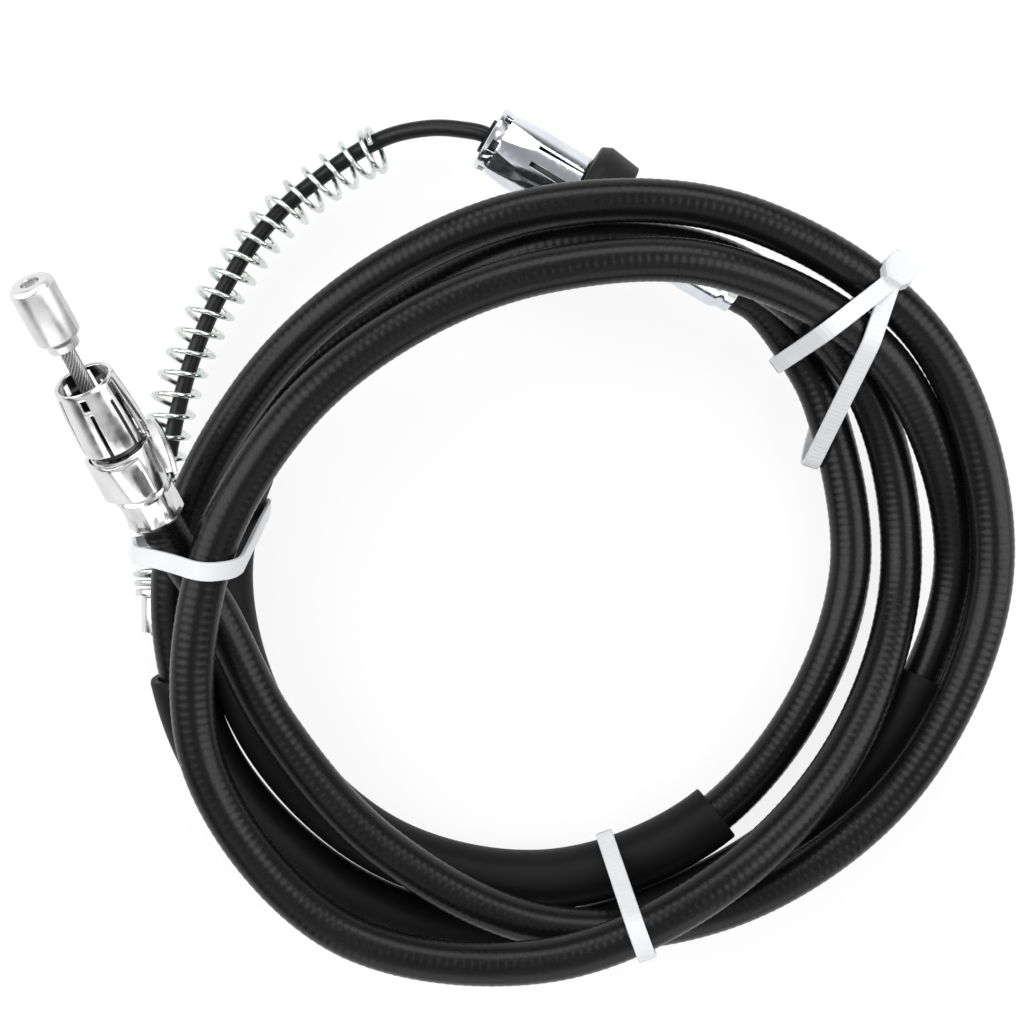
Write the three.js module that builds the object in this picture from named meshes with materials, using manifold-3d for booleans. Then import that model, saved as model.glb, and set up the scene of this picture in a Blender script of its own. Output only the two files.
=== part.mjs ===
// A parking brake cable, coiled for shipping and held by three cable ties. Millimetres, +Z up.
// It lies on its ties: the coil's loops run clockwise from fitting B (top) to fitting A (upper left).
import * as THREE from 'three';
import Module from 'manifold-3d';
import { mergeVertices } from 'three/addons/utils/BufferGeometryUtils.js';

const wasm = await Module();
wasm.setup();

// Clearances
const SEAT = 0.3; // between pieces that touch
const RUNNING = 0.45; // between the strand and what it slides through

// Conduit: jacket, steel armour winding and plastic liner, bored open near its ends
const CONDUIT_OD = 10.4;
const CONDUIT_SIDES = 10;
const CONDUIT_STEPS = 132;
const JACKET_WALL = 1.2;
const ARMOUR_WALL = 0.9;
const LINER_WALL = 0.6;
const OPEN_DEPTH = 18; // how far in from each end the layers are modelled

// Guard sleeves, between two angles of the coil in degrees
const SLEEVE_OD = 15;
const SLEEVE_WALL = 1.8;
const SLEEVE_1_ANGLES = [55, 198];
const SLEEVE_2_ANGLES = [736.5, 883.5];

// The coil, clockwise from +X about its centre: radius, and height above a conduit lying on the floor
const COIL_CENTRE = [8.2, -13.8];
const FIRST_ANGLE = -30;
const ANGLE_STEP = 30;
const FIRST_TURN = [
  [82.0, 0.0], [77.8, 0.0], [74.8, 0.6], [76.2, 2.4], [79.1, 2.3], [81.2, 2.3],
  [81.5, 2.3], [81.2, 2.4], [78.0, 3.5], [73.3, 9.8], [77.3, 22.0], [85.5, 22.5],
];
const SECOND_TURN = [
  [91.4, 7.6], [89.9, 3.2], [85.4, 15.8], [84.8, 26.8], [92.0, 28.2], [98.4, 27.3],
  [92.9, 29.8], [79.1, 33.6], [68.9, 38.0], [65.3, 38.8], [69.1, 38.8], [81.5, 34.5],
];
const THIRD_TURN = [
  [97.2, 18.6], [102.8, 5.2], [96.2, 2.4], [91.9, 2.3], [94.7, 2.3], [96.7, 2.3],
  [96.8, 4.2], [91.4, 13.2], [83.3, 17.8], [80.7, 25.4], [85.2, 31.0], [95.9, 28.5],
];
const LAST_TURN = [
  [107.6, 20.7], [109.1, 15.6], [102.1, 15.6], [94.1, 16.0], [87.1, 15.8], [78.5, 15.8], [76.0, 16.0],
];
const NEAR_FITTING_B = [[71.4, 41.6, 6.2]];
const NEAR_FITTING_A = [[-72.0, -23.0, 24.5]];

// End fittings: where the conduit enters, the heading of the outward axis and its rise, in degrees
const FITTING_A = { root: [-83.0, -0.9, 36.0], heading: 110.5, rise: 36 };
const FITTING_B = { root: [56.6, 55.6, 9.6], heading: 149.45, rise: 6 };
const CONDUIT_SEAT = 8; // how far the conduit enters each fitting
const STRAIGHT_LEAD = 7; // straight conduit before each fitting

// Strand
const STRAND_D = 3.5;
const STRAND_SIDES = 12;
const STRAND_INNER_END_A = 0; // along fitting A's axis, from its root
const STRAND_TIP_IN_BARREL = 0.4; // its tip lies this far inside the barrel's outer face

// Fitting A, along its axis from its root
const FERRULE_A_LENGTH = 9.3;
const FERRULE_A_ACROSS = 13.2; // across the crimped flats
const FERRULE_A_FLATS = 8;
const FERRULE_A_FLAT_LENGTH = 6.9;
const COLLAR_A_D = 14.2;
const COLLAR_A_LENGTH = 11.4;
const TUBE_A_D = 10.8;
const TUBE_A_BORE = 8.4;
const TUBE_A_FLOOR = 6; // thickness of the bore's end wall
const TUBE_A_SETBACK = 5.5; // the tube stops this far inside the finger sleeve's mouth
const TUBE_A_GRIP = 2; // how much of the tube's end the finger sleeve's inside fits round
const SLEEVE_A_LENGTH = 16.3;
const SLEEVE_A_BACK_D = 15.8;
const FINGER_WALL = 0.9;
const FINGER_SLOT = 1.1;
const FINGER_RING = 4.6; // the part of a finger sleeve that isn't slotted
const FINGERS_A = 6;
const SLOT_TURN_A = -18; // degrees round from the fitting's upper side
const CLIP_WALL = 0.9;
const CLIP_LENGTH = 9.4;
const CLIP_ANGLE = 290;
const LIP_HEIGHT = 1.6;
const SEAL_LENGTH = 3;
const MOUTH_PAST_COLLAR_A = 18.6;
const GAP_TO_BARREL = 8.6;
const BARREL_D = 10;
const BARREL_LENGTH = 16.6;
const BARREL_NECK_D = 6.6;
const BARREL_NECK = 2;
const BARREL_CHAMFER = 1;

// Fitting B, along its axis from its root
const FERRULE_B_LENGTH = 17;
const FERRULE_B_BACK_D = 12.2;
const FERRULE_B_FRONT_D = 14.4;
const FERRULE_B_BACK_LENGTH = 3;
const FERRULE_B_FRONT_LENGTH = 4;
const SHANK_B_D = 13;
const SHANK_B_LENGTH = 28.8;
const FLANGE_B_D = 18.6;
const FLANGE_B_LENGTH = 2;
const BOOT_D = 27.2; // at its widest, a little behind its front lip
const BOOT_LIP_D = 24.8;
const BOOT_FACE_D = 17.8;
const BOOT_BACK_D = 25.4;
const BOOT_LENGTH = 11;
const BOOT_WALL = 2.2;
const BOOT_FRONT = 1.6;
const BOOT_LIP = 0.4;
const BOOT_WIDEST = 2.8; // behind its front face
const TUBE_B_D = 12.4;
const TUBE_B_BORE = 9.4;
const TUBE_B_FLOOR = 8;
const NOSE_LENGTH = 24.4;
const NOSE_BACK_D = 17.4;
const NOSE_SHOULDER_D = 17.2;
const NOSE_FRONT_D = 16.4;
const NOSE_TAPER = 9;
const NOSE_CHAMFER = 0.5;
const NOSE_GRIP = 1; // how far behind its taper the nose's inside fits round the tube
const FINGERS_B = 6;
const WINDOW_B = 2.6;
const WINDOW_B_FROM_MOUTH = 2;

// Coated strand, return spring and end button at fitting B
const COATED_D = 4.1;
const COATED_STEPS = 46;
const COATED_SIDES = 8;
const COATED_PATH = [
  [-12.4, 94.4, 16.6], [-18.6, 95.2, 15.2], [-25.1, 94.9, 13.6], [-30.6, 93.9, 12.0], [-36.0, 91.9, 10.4],
  [-42.6, 88.4, 8.8], [-49.6, 83.7, 7.4], [-56.0, 78.8, 6.5], [-61.8, 72.7, 6.9], [-67.0, 66.2, 6.9],
  [-71.4, 59.1, 6.9], [-75.3, 52.3, 6.9], [-78.5, 45.0, 6.9], [-81.2, 37.8, 6.9], [-83.4, 30.3, 6.9],
  [-85.2, 22.8, 6.9], [-86.6, 15.5, 6.9], [-87.6, 7.5, 6.9], [-88.4, -1.0, 6.9], [-89.0, -9.5, 6.9],
  [-89.3, -18.0, 6.9], [-89.3, -31.0, 6.9],
];
const SPRING_OD = 12.2;
const SPRING_WIRE = 1.4;
const SPRING_PITCH = 5.2;
const SPRING_SAG = 2; // how far its first turn hangs to one side of the strand
const SPRING_SAG_SHARE = 0.45; // the share of the spring over which that fades out
const SPRING_BOW = 1.5; // how far the rest bows to the other side
const SPRING_START = 30; // along the coated strand from fitting B's mouth
const SPRING_STEPS_PER_TURN = 8;
const SPRING_WIRE_SIDES = 4;
const CUP_D = 11.6;
const CUP_LENGTH = 1.6;
const BUTTON_D = 8.6;
const BUTTON_LENGTH = 9;
const BUTTON_CHAMFER = 0.8;
const STRAND_PAST_BUTTON = 0.6;

// Cable ties: a plane through a point, turned to a heading and leaning, and where the head sits on it.
// A twisted strap leaves its plane by twist * (x - about) * y.
const TIE_WIDTH = 4.3;
const TIE_WALL = 1.2;
const TIE_HEAD = [6.2, 3.6, 5.6]; // along, out from and across the strap
const TIE_REACH = 46; // the strands a tie gathers lie this near its point
const TIE_1 = [{ through: [-69, -14, 46], heading: -8, lean: 13, head: -120, twist: 0.01, about: -9 }];
const TIE_2 = [
  { through: [88.8, 54, 30], heading: 37.7, lean: 0, head: 55, twist: 0, about: 0 },
  { through: [88.8, 52.8, 30], heading: 72.3, lean: 0, head: 55, twist: 0, about: 0 },
];
const TIE_3 = [{ through: [28.6, -96, 15], heading: -70.2, lean: 0, head: -60, twist: 0, about: 0 }];
const TWIST_SLACK = 3; // extra width that a twisted strap is kept clear of its strands for

// From the coil's own frame to the part's frame, whose origin is under the middle of the part
const LOWEST_TIE_HEAD = 4; // a tie's head reaches this far below the straps of the other two
const TO_PART_FRAME = [-8.3, 8.4, SEAT + TIE_WALL + LOWEST_TIE_HEAD];

const ROUND = 20;
const SLEEVE_SIDES = 14;
const STRAP_CIRCLE_SIDES = 18;
const up = new THREE.Vector3(0, 0, 1);

const material = (color, metalness, roughness) => (
  new THREE.MeshStandardMaterial({ color, metalness, roughness })
);
const black = material(0x141414, 0, 0.45);
const matteBlack = material(0x101010, 0, 0.7);
const zinc = material(0xc9ccd0, 1, 0.28);
const steel = material(0x8d8f92, 1, 0.4);
const nylon = material(0xe9eaec, 0, 0.45);
const clearNylon = material(0xb9bdb8, 0, 0.5);

function toSolid(geometry) {
  const bare = geometry.clone();
  bare.deleteAttribute('normal');
  bare.deleteAttribute('uv');
  const merged = mergeVertices(bare, 1e-4);
  return new wasm.Manifold(new wasm.Mesh({
    numProp: 3,
    vertProperties: new Float32Array(merged.attributes.position.array),
    triVerts: new Uint32Array(merged.index.array),
  }));
}

function toGeometry(solid) {
  const mesh = solid.getMesh();
  const geometry = new THREE.BufferGeometry();
  geometry.setAttribute('position', new THREE.BufferAttribute(new Float32Array(mesh.vertProperties), 3));
  geometry.setIndex(new THREE.BufferAttribute(new Uint32Array(mesh.triVerts), 1));
  geometry.computeVertexNormals();
  return geometry;
}

function cut(geometry, tools) {
  return toGeometry(tools.reduce((solid, tool) => solid.subtract(toSolid(tool)), toSolid(geometry)));
}

function join(geometries) {
  return toGeometry(geometries.slice(1).reduce((solid, g) => solid.add(toSolid(g)), toSolid(geometries[0])));
}

// Turns a geometry's faces outwards, whichever way its profile was drawn
function facingOut(geometry) {
  const { position } = geometry.attributes;
  const index = geometry.index.array;
  const [a, b, c] = [new THREE.Vector3(), new THREE.Vector3(), new THREE.Vector3()];
  let volume = 0;
  for (let i = 0; i < index.length; i += 3) {
    a.fromBufferAttribute(position, index[i]);
    b.fromBufferAttribute(position, index[i + 1]);
    c.fromBufferAttribute(position, index[i + 2]);
    volume += a.dot(b.cross(c));
  }
  if (volume < 0) {
    for (let i = 0; i < index.length; i += 3) [index[i], index[i + 1]] = [index[i + 1], index[i]];
  }
  return geometry;
}

// A turned piece about +Y, from a closed outline of [radius, distance along the axis]
function turned(outline, sides = ROUND) {
  const points = [...outline, outline[0]].map(([r, along]) => new THREE.Vector2(r, along));
  return facingOut(new THREE.LatheGeometry(points, sides));
}

function tube(outer, inner, from, to, sides = ROUND) {
  return turned([[inner, from], [outer, from], [outer, to], [inner, to]], sides);
}

function rod(radius, from, to, sides = ROUND) {
  return new THREE.CylinderGeometry(radius, radius, to - from, sides).translate(0, (from + to) / 2, 0);
}

function box(across, along, deep, [x, y, z]) {
  return new THREE.BoxGeometry(across, along, deep).translate(x, y, z);
}

function polygon(radius, sides) {
  const corners = [];
  for (let i = 0; i < sides; i += 1) {
    const angle = (2 * Math.PI * i) / sides;
    corners.push(new THREE.Vector2(radius * Math.cos(angle), radius * Math.sin(angle)));
  }
  return corners;
}

function axisOf({ heading, rise }) {
  const [h, r] = [heading, rise].map(THREE.MathUtils.degToRad);
  return new THREE.Vector3(Math.cos(h) * Math.cos(r), Math.sin(h) * Math.cos(r), Math.sin(r));
}

function onAxis(fitting, along) {
  return new THREE.Vector3(...fitting.root).addScaledVector(axisOf(fitting), along);
}

// The conduit's centreline
function coilPoint([radius, lift], index) {
  const angle = THREE.MathUtils.degToRad(FIRST_ANGLE + ANGLE_STEP * index);
  return new THREE.Vector3(
    COIL_CENTRE[0] + radius * Math.cos(angle),
    COIL_CENTRE[1] - radius * Math.sin(angle),
    CONDUIT_OD / 2 + lift,
  );
}

const asPoint = (p) => new THREE.Vector3(...p);

const route = new THREE.CatmullRomCurve3([
  onAxis(FITTING_B, CONDUIT_SEAT),
  onAxis(FITTING_B, 0),
  onAxis(FITTING_B, -STRAIGHT_LEAD),
  ...NEAR_FITTING_B.map(asPoint),
  ...[...FIRST_TURN, ...SECOND_TURN, ...THIRD_TURN, ...LAST_TURN].map(coilPoint),
  ...NEAR_FITTING_A.map(asPoint),
  onAxis(FITTING_A, -STRAIGHT_LEAD),
  onAxis(FITTING_A, 0),
  onAxis(FITTING_A, CONDUIT_SEAT),
], false, 'centripetal');
route.arcLengthDivisions = 4000;

// Stations along the route, one for each of the conduit's steps, with their unwound coil angles
const stations = route.getSpacedPoints(CONDUIT_STEPS);

function unwoundAngles(points) {
  const angles = [];
  let last = -60;
  for (const p of points) {
    const raw = -THREE.MathUtils.radToDeg(Math.atan2(p.y - COIL_CENTRE[1], p.x - COIL_CENTRE[0]));
    last = raw + 360 * Math.round((last - raw) / 360);
    angles.push(last);
  }
  return angles;
}

const stationAngles = unwoundAngles(stations);
const stationNearest = (angle) => stationAngles.reduce(
  (best, a, i) => (Math.abs(a - angle) < Math.abs(stationAngles[best] - angle) ? i : best),
  0,
);

// The stretch of a curve between two shares of its length
class Stretch extends THREE.Curve {
  constructor(whole, from, to) {
    super();
    Object.assign(this, { whole, from, to });
  }

  getPoint(t, target = new THREE.Vector3()) {
    return target.copy(this.whole.getPointAt(this.from + (this.to - this.from) * t));
  }
}

function along(curve, steps, outerRadius, sides, innerRadius = 0) {
  const section = new THREE.Shape(polygon(outerRadius, sides));
  if (innerRadius > 0) section.holes.push(new THREE.Path(polygon(innerRadius, sides).reverse()));
  return new THREE.ExtrudeGeometry(section, { steps, extrudePath: curve, bevelEnabled: false });
}

// Radii of the conduit's layers, each a seat clear of the next
const conduitRadius = CONDUIT_OD / 2;
const armourRadius = conduitRadius - JACKET_WALL - SEAT;
const linerRadius = armourRadius - ARMOUR_WALL - SEAT;
const linerBore = linerRadius - LINER_WALL;
const strandRadius = Math.min(STRAND_D / 2, linerBore - SEAT);

// A group whose +Y runs out of a fitting, with its origin at the fitting's root
function fittingGroup(fitting) {
  const group = new THREE.Group();
  const y = axisOf(fitting);
  const x = new THREE.Vector3().crossVectors(y, up).normalize();
  const z = new THREE.Vector3().crossVectors(x, y);
  group.quaternion.setFromRotationMatrix(new THREE.Matrix4().makeBasis(x, y, z));
  group.position.set(...fitting.root);
  return group;
}

function add(group, name, geometry, look) {
  const mesh = new THREE.Mesh(geometry, look);
  mesh.name = name;
  group.add(mesh);
  return mesh;
}

// Slots from the back end of a finger sleeve up to its ring
function fingerSlots(count, reach, from, to, turn = 0) {
  const slots = [];
  for (let i = 0; i < count; i += 1) {
    const slot = box(FINGER_SLOT, to - from, reach, [0, (from + to) / 2, reach / 2]);
    slots.push(slot.rotateY(turn + (2 * Math.PI * i) / count));
  }
  return slots;
}

// Fitting A: crimped ferrule, stop collar and tube, split clip, finger sleeve and barrel end
function buildFittingA(group) {
  const ferruleRadius = FERRULE_A_ACROSS / 2 / Math.cos(Math.PI / FERRULE_A_FLATS);
  const ferruleBore = conduitRadius + SEAT;
  const collarStart = FERRULE_A_LENGTH + SEAT;
  const collarEnd = collarStart + COLLAR_A_LENGTH;
  const mouth = collarEnd + MOUTH_PAST_COLLAR_A;
  const sleeveBack = mouth - SLEEVE_A_LENGTH;
  const tubeRadius = TUBE_A_D / 2;
  const strandBore = strandRadius + RUNNING;

  const ferrule = turned([
    [ferruleBore, 0], [ferruleRadius - 0.8, 0], [ferruleRadius, 1], [ferruleRadius, FERRULE_A_LENGTH - 1],
    [ferruleRadius - 0.8, FERRULE_A_LENGTH], [ferruleBore, FERRULE_A_LENGTH],
  ], FERRULE_A_FLATS * 3);
  const flats = [];
  for (let i = 0; i < FERRULE_A_FLATS; i += 1) {
    const flat = box(ferruleRadius * 2, FERRULE_A_FLAT_LENGTH, ferruleRadius, [0, FERRULE_A_LENGTH / 2,
      (FERRULE_A_ACROSS + ferruleRadius) / 2]);
    flats.push(flat.rotateY((2 * Math.PI * i) / FERRULE_A_FLATS));
  }
  add(group, 'ferrule_a', cut(ferrule, flats), zinc);

  const collarRadius = COLLAR_A_D / 2;
  const floorEnd = collarStart + TUBE_A_FLOOR;
  const tubeEnd = mouth - TUBE_A_SETBACK;
  const body = turned([
    [strandBore, collarStart], [collarRadius - 0.6, collarStart], [collarRadius, collarStart + 0.6],
    [collarRadius, collarEnd - 0.6], [collarRadius - 0.6, collarEnd], [tubeRadius, collarEnd],
    [tubeRadius, tubeEnd], [TUBE_A_BORE / 2, tubeEnd], [TUBE_A_BORE / 2, floorEnd], [strandBore, floorEnd],
  ]);
  add(group, 'fitting_body_a', body, zinc);

  const sealRadius = TUBE_A_BORE / 2 - SEAT;
  const seal = tube(sealRadius, strandBore, floorEnd + SEAT, floorEnd + SEAT + SEAL_LENGTH, ROUND);
  add(group, 'wiper_seal_a', seal, matteBlack);

  // A sheet steel clip round the collar, open on one side, with a raised lip along one edge
  const clipInner = collarRadius + SEAT;
  const clipOuter = clipInner + CLIP_WALL;
  const clipStart = collarStart + (COLLAR_A_LENGTH - CLIP_LENGTH) / 2;
  const clipTurn = THREE.MathUtils.degToRad(CLIP_ANGLE);
  const clipPoints = [];
  const clipSteps = 24;
  for (let i = 0; i <= clipSteps; i += 1) {
    const angle = (clipTurn * i) / clipSteps;
    clipPoints.push(new THREE.Vector2(clipOuter * Math.cos(angle), clipOuter * Math.sin(angle)));
  }
  for (let i = clipSteps; i >= 0; i -= 1) {
    const angle = (clipTurn * i) / clipSteps;
    clipPoints.push(new THREE.Vector2(clipInner * Math.cos(angle), clipInner * Math.sin(angle)));
  }
  clipPoints.push(new THREE.Vector2(clipOuter + LIP_HEIGHT, -CLIP_WALL * 0.5));
  clipPoints.push(new THREE.Vector2(clipOuter + LIP_HEIGHT, CLIP_WALL * 0.6));
  const section = new THREE.Shape(clipPoints);
  const clip = new THREE.ExtrudeGeometry(section, { depth: CLIP_LENGTH, bevelEnabled: false });
  clip.rotateX(-Math.PI / 2).translate(0, clipStart, 0).rotateY(THREE.MathUtils.degToRad(10));
  add(group, 'split_clip_a', clip, zinc);

  const ringInner = tubeRadius + SEAT;
  const frontRadius = ringInner + FINGER_WALL;
  const backRadius = SLEEVE_A_BACK_D / 2;
  const ringBack = mouth - FINGER_RING;
  const shoulder = backRadius - (backRadius - frontRadius) * 0.55;
  const sleeve = turned([
    [backRadius - FINGER_WALL, sleeveBack], [backRadius, sleeveBack], [shoulder, ringBack - 2],
    [frontRadius + 0.1, mouth - 0.6], [frontRadius - 0.4, mouth], [ringInner, mouth],
    [ringInner, tubeEnd - TUBE_A_GRIP], [shoulder - FINGER_WALL, tubeEnd - TUBE_A_GRIP - 2],
  ]);
  const slotTurn = THREE.MathUtils.degToRad(SLOT_TURN_A);
  const windows = fingerSlots(FINGERS_A / 2, backRadius * 2, ringBack + 0.9, ringBack + 0.9 + 2 * FINGER_SLOT,
    slotTurn + Math.PI / FINGERS_A);
  const slots = fingerSlots(FINGERS_A, backRadius * 2, sleeveBack - 1, ringBack, slotTurn);
  add(group, 'finger_sleeve_a', cut(sleeve, [...slots, ...windows]), zinc);

  const barrelBack = mouth + GAP_TO_BARREL;
  const barrelFront = barrelBack + BARREL_LENGTH;
  const barrelRadius = BARREL_D / 2;
  const barrelBore = strandRadius + SEAT;
  const barrel = turned([
    [barrelBore, barrelBack], [BARREL_NECK_D / 2, barrelBack],
    [BARREL_NECK_D / 2 + 0.6, barrelBack + BARREL_NECK],
    [barrelRadius, barrelBack + BARREL_NECK + 1.6], [barrelRadius, barrelFront - BARREL_CHAMFER],
    [barrelRadius - BARREL_CHAMFER, barrelFront], [barrelBore, barrelFront],
  ]);
  add(group, 'barrel_end_a', barrel, zinc);
  const strand = rod(strandRadius, STRAND_INNER_END_A, barrelFront - STRAND_TIP_IN_BARREL, STRAND_SIDES);
  add(group, 'strand_a', strand, steel);
  addLayers(group, 'a');
  return { mouth, barrelFront };
}

// The armour winding and the liner inside the open end of the conduit
function addLayers(group, end) {
  const inner = CONDUIT_SEAT - OPEN_DEPTH + SEAT;
  const armour = tube(armourRadius, armourRadius - ARMOUR_WALL, inner, CONDUIT_SEAT, 20);
  add(group, `armour_end_${end}`, armour, steel);
  const liner = tube(linerRadius, linerBore, inner, CONDUIT_SEAT + 0.8, 20);
  add(group, `liner_end_${end}`, liner, clearNylon);
}

// Fitting B: swaged ferrule, flanged body, dust boot, finger nose and mouth seal
function buildFittingB(group) {
  const ferruleBore = conduitRadius + SEAT;
  const frontRadius = FERRULE_B_FRONT_D / 2;
  const ferrule = turned([
    [ferruleBore, 0], [FERRULE_B_BACK_D / 2, 0], [FERRULE_B_BACK_D / 2, FERRULE_B_BACK_LENGTH],
    [frontRadius, FERRULE_B_LENGTH - FERRULE_B_FRONT_LENGTH], [frontRadius, FERRULE_B_LENGTH],
    [ferruleBore, FERRULE_B_LENGTH],
  ]);
  add(group, 'rear_ferrule_b', ferrule, zinc);

  const shankStart = FERRULE_B_LENGTH + SEAT;
  const shankEnd = shankStart + SHANK_B_LENGTH;
  const shankRadius = SHANK_B_D / 2;
  const coatedBore = COATED_D / 2 + RUNNING;
  const bootFront = shankEnd + SEAT + BOOT_FRONT;
  const noseBack = bootFront + SEAT;
  const mouth = noseBack + NOSE_LENGTH;
  const tubeRadius = TUBE_B_D / 2;
  const floorEnd = shankEnd - TUBE_B_FLOOR;
  const flangeStart = shankEnd - FLANGE_B_LENGTH;
  const flangeRadius = FLANGE_B_D / 2;
  const body = turned([
    [coatedBore, shankStart], [shankRadius, shankStart], [shankRadius, flangeStart],
    [flangeRadius, flangeStart], [flangeRadius, shankEnd], [tubeRadius, shankEnd],
    [tubeRadius, mouth - SEAT], [TUBE_B_BORE / 2, mouth - SEAT],
    [TUBE_B_BORE / 2, floorEnd], [coatedBore, floorEnd],
  ]);
  add(group, 'fitting_body_b', body, zinc);

  // The boot is a cup open to the rear, its front wall between the flange and the nose
  const bootBack = bootFront - BOOT_LENGTH;
  const boot = turned([
    [tubeRadius + SEAT, shankEnd + SEAT], [tubeRadius + SEAT, bootFront], [BOOT_FACE_D / 2, bootFront],
    [BOOT_LIP_D / 2, bootFront - BOOT_LIP], [BOOT_D / 2, bootFront - BOOT_WIDEST],
    [BOOT_BACK_D / 2, bootBack], [BOOT_BACK_D / 2 - BOOT_WALL, bootBack],
    [BOOT_LIP_D / 2 - BOOT_WALL, shankEnd + SEAT],
  ]);
  add(group, 'dust_boot_b', boot, matteBlack);

  const ringInner = tubeRadius + SEAT;
  const backRadius = NOSE_BACK_D / 2;
  const shoulderRadius = NOSE_SHOULDER_D / 2;
  const ringBack = mouth - NOSE_TAPER;
  const nose = turned([
    [backRadius - FINGER_WALL, noseBack], [backRadius, noseBack], [shoulderRadius, ringBack],
    [NOSE_FRONT_D / 2, mouth - NOSE_CHAMFER], [NOSE_FRONT_D / 2 - NOSE_CHAMFER, mouth], [ringInner, mouth],
    [ringInner, ringBack - NOSE_GRIP], [shoulderRadius - FINGER_WALL, ringBack - NOSE_GRIP - 2],
  ]);
  const windowEnd = mouth - WINDOW_B_FROM_MOUTH;
  const windowStart = windowEnd - WINDOW_B;
  const windows = fingerSlots(FINGERS_B / 2, backRadius * 2, windowStart, windowEnd, Math.PI / FINGERS_B);
  const slots = fingerSlots(FINGERS_B, backRadius * 2, noseBack - 1, ringBack - 1.5);
  add(group, 'finger_nose_b', cut(nose, [...slots, ...windows]), zinc);

  const sealRadius = TUBE_B_BORE / 2 - SEAT;
  add(group, 'mouth_seal_b', tube(sealRadius, coatedBore, mouth - SEAL_LENGTH, mouth + 0.9), matteBlack);
  addLayers(group, 'b');
  return { mouth, floorEnd };
}

// The coated strand from inside fitting B to past its end button
function coatedCurve(floorEnd, mouth) {
  return new THREE.CatmullRomCurve3([
    onAxis(FITTING_B, floorEnd - TUBE_B_FLOOR / 2),
    onAxis(FITTING_B, mouth - 4),
    onAxis(FITTING_B, mouth + 1.5),
    ...COATED_PATH.map(asPoint),
  ], false, 'centripetal');
}

// A helix about a curve, from one distance along it to another
class CoilAbout extends THREE.Curve {
  constructor(curve, from, to, radius, pitch) {
    super();
    Object.assign(this, { curve, from, to, radius, pitch });
    this.length = curve.getLength();
    this.turns = (to - from) / pitch;
    this.frames = curve.computeFrenetFrames(600, false);
  }

  // How far the coil's middle lies inwards of the strand
  static leanAt(t) {
    const rest = Math.max(0, (t - SPRING_SAG_SHARE) / (1 - SPRING_SAG_SHARE));
    return SPRING_SAG * Math.max(0, 1 - t / SPRING_SAG_SHARE) - SPRING_BOW * Math.sin(Math.PI * rest);
  }

  getPoint(t, target = new THREE.Vector3()) {
    const share = (this.from + (this.to - this.from) * t) / this.length;
    const angle = 2 * Math.PI * this.turns * t;
    const i = Math.round(share * 600);
    const inwards = new THREE.Vector3().crossVectors(this.curve.getTangentAt(share), up).negate();
    return target.copy(this.curve.getPointAt(share))
      .addScaledVector(inwards.setLength(1), CoilAbout.leanAt(t))
      .addScaledVector(this.frames.normals[i], this.radius * Math.cos(angle))
      .addScaledVector(this.frames.binormals[i], this.radius * Math.sin(angle));
  }
}

function placedAlong(curve, distance) {
  const share = distance / curve.getLength();
  return { at: curve.getPointAt(share), axis: curve.getTangentAt(share) };
}

function buildStrandEnd(group, curve, mouth) {
  const coated = along(curve, COATED_STEPS, COATED_D / 2, COATED_SIDES);
  add(group, 'coated_strand_b', coated, matteBlack);

  const total = curve.getLength();
  const buttonEnd = total - STRAND_PAST_BUTTON;
  const buttonStart = buttonEnd - BUTTON_LENGTH;
  const cupStart = buttonStart - SEAT - CUP_LENGTH;
  const springEnd = cupStart - SEAT - SPRING_WIRE / 2;
  const inside = curve.getPointAt(0).distanceTo(onAxis(FITTING_B, mouth));
  const springStart = inside + SPRING_START;
  const coilRadius = (SPRING_OD - SPRING_WIRE) / 2;
  const coil = new CoilAbout(curve, springStart, springEnd, coilRadius, SPRING_PITCH);
  const steps = Math.round(coil.turns * SPRING_STEPS_PER_TURN);
  coil.arcLengthDivisions = steps * 4;
  add(group, 'return_spring_b', along(coil, steps, SPRING_WIRE / 2, SPRING_WIRE_SIDES), zinc);

  const bore = COATED_D / 2 + SEAT;
  const cup = tube(CUP_D / 2, bore, 0, CUP_LENGTH);
  const button = turned([
    [bore, 0], [BUTTON_D / 2 - BUTTON_CHAMFER, 0], [BUTTON_D / 2, BUTTON_CHAMFER],
    [BUTTON_D / 2, BUTTON_LENGTH - BUTTON_CHAMFER], [BUTTON_D / 2 - BUTTON_CHAMFER, BUTTON_LENGTH],
    [bore, BUTTON_LENGTH],
  ]);
  const ends = [['spring_cup_b', cup, cupStart], ['end_button_b', button, buttonStart]];
  for (const [name, geometry, start] of ends) {
    const { at, axis } = placedAlong(curve, start);
    const mesh = add(group, name, geometry, zinc);
    mesh.position.copy(at);
    mesh.quaternion.setFromUnitVectors(new THREE.Vector3(0, 1, 0), axis);
  }
  return { springStart, springEnd };
}

// Circles that a strap has to clear, in the strap's plane
function circlesInPlane(discs, origin, e1, e2, normal, leaves, half) {
  const found = [];
  for (const { at, radius } of discs) {
    const offset = at.clone().sub(origin);
    const [x, y] = [offset.dot(e1), offset.dot(e2)];
    const beyond = Math.max(0, Math.abs(offset.dot(normal) - leaves(x, y)) - half);
    if (beyond < radius && Math.abs(x) < TIE_REACH) {
      found.push({ x, y, radius: Math.sqrt(radius ** 2 - beyond ** 2) });
    }
  }
  return found;
}

// Moves a flat band out of its plane
function twisted(geometry, leaves) {
  const { position } = geometry.attributes;
  for (let i = 0; i < position.count; i += 1) {
    position.setZ(i, position.getZ(i) + leaves(position.getX(i), position.getY(i)));
  }
  return geometry;
}

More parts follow.
